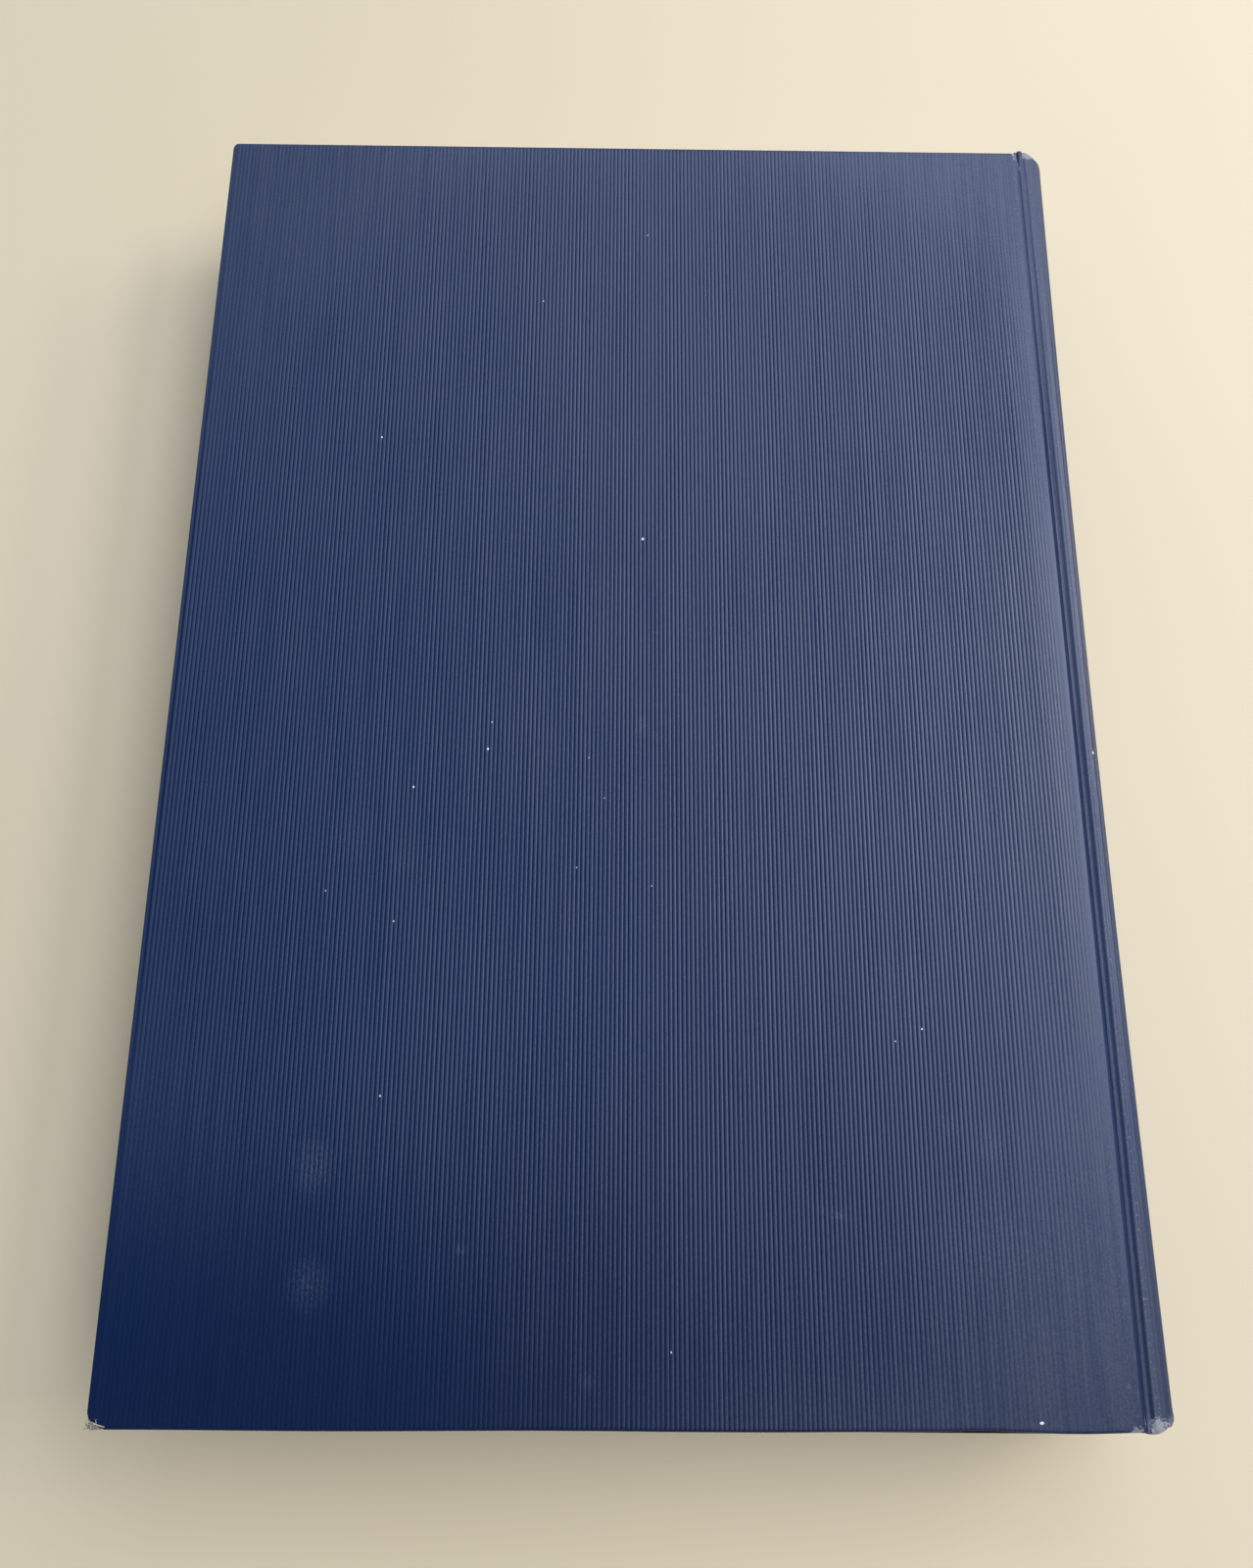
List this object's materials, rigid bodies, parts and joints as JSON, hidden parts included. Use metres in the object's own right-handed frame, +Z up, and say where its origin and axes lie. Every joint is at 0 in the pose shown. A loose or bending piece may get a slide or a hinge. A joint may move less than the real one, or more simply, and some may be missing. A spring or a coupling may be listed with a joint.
{
  "type": "hardback book",
  "caption": "Closed hardback book with a rounded spine, ribbed cloth covers that open on joint grooves, and a solid block of pages.",
  "frame": {"origin": "under the middle of the bounding box, on the surface the book lies on", "axes": "+X from the fore-edge to the spine, +Y from the tail to the head, +Z up, out of the back cover"},
  "size_m": [0.186, 0.26, 0.028],
  "materials": {
    "pages": "matt, slightly yellowed page edges",
    "endpaper": "matt, off-white",
    "lining": "matt open-weave mull under paper",
    "card": "matt grey-brown card",
    "board": "matt greyboard",
    "band": "woven, with dark blue bars",
    "bookcloth": "ribbed coated bookcloth, dark blue, worn paler on the ridges"
  },
  "bodies": {
    "book_block": {"text_block": "pages", "spine_lining": "lining", "spine_inlay": "card", "spine_covering": "bookcloth", "head_band": "band", "tail_band": "band", "back_flyleaf": "endpaper", "front_flyleaf": "endpaper"},
    "back_cover": {"back_board": "board", "back_covering": "bookcloth", "back_pastedown": "endpaper"},
    "front_cover": {"front_board": "board", "front_covering": "bookcloth", "front_pastedown": "endpaper"}
  },
  "joints": [
    {"name": "back_cover_hinge", "type": "hinge", "parent": "book_block", "child": "back_cover", "pos_m": [0.0857, 0, 0.0279], "axis": [0, 1, 0], "range_deg": [0, 180]},
    {"name": "front_cover_hinge", "type": "hinge", "parent": "book_block", "child": "front_cover", "pos_m": [0.0857, 0, 0.0001], "axis": [0, -1, 0], "range_deg": [0, 180]}
  ]
}
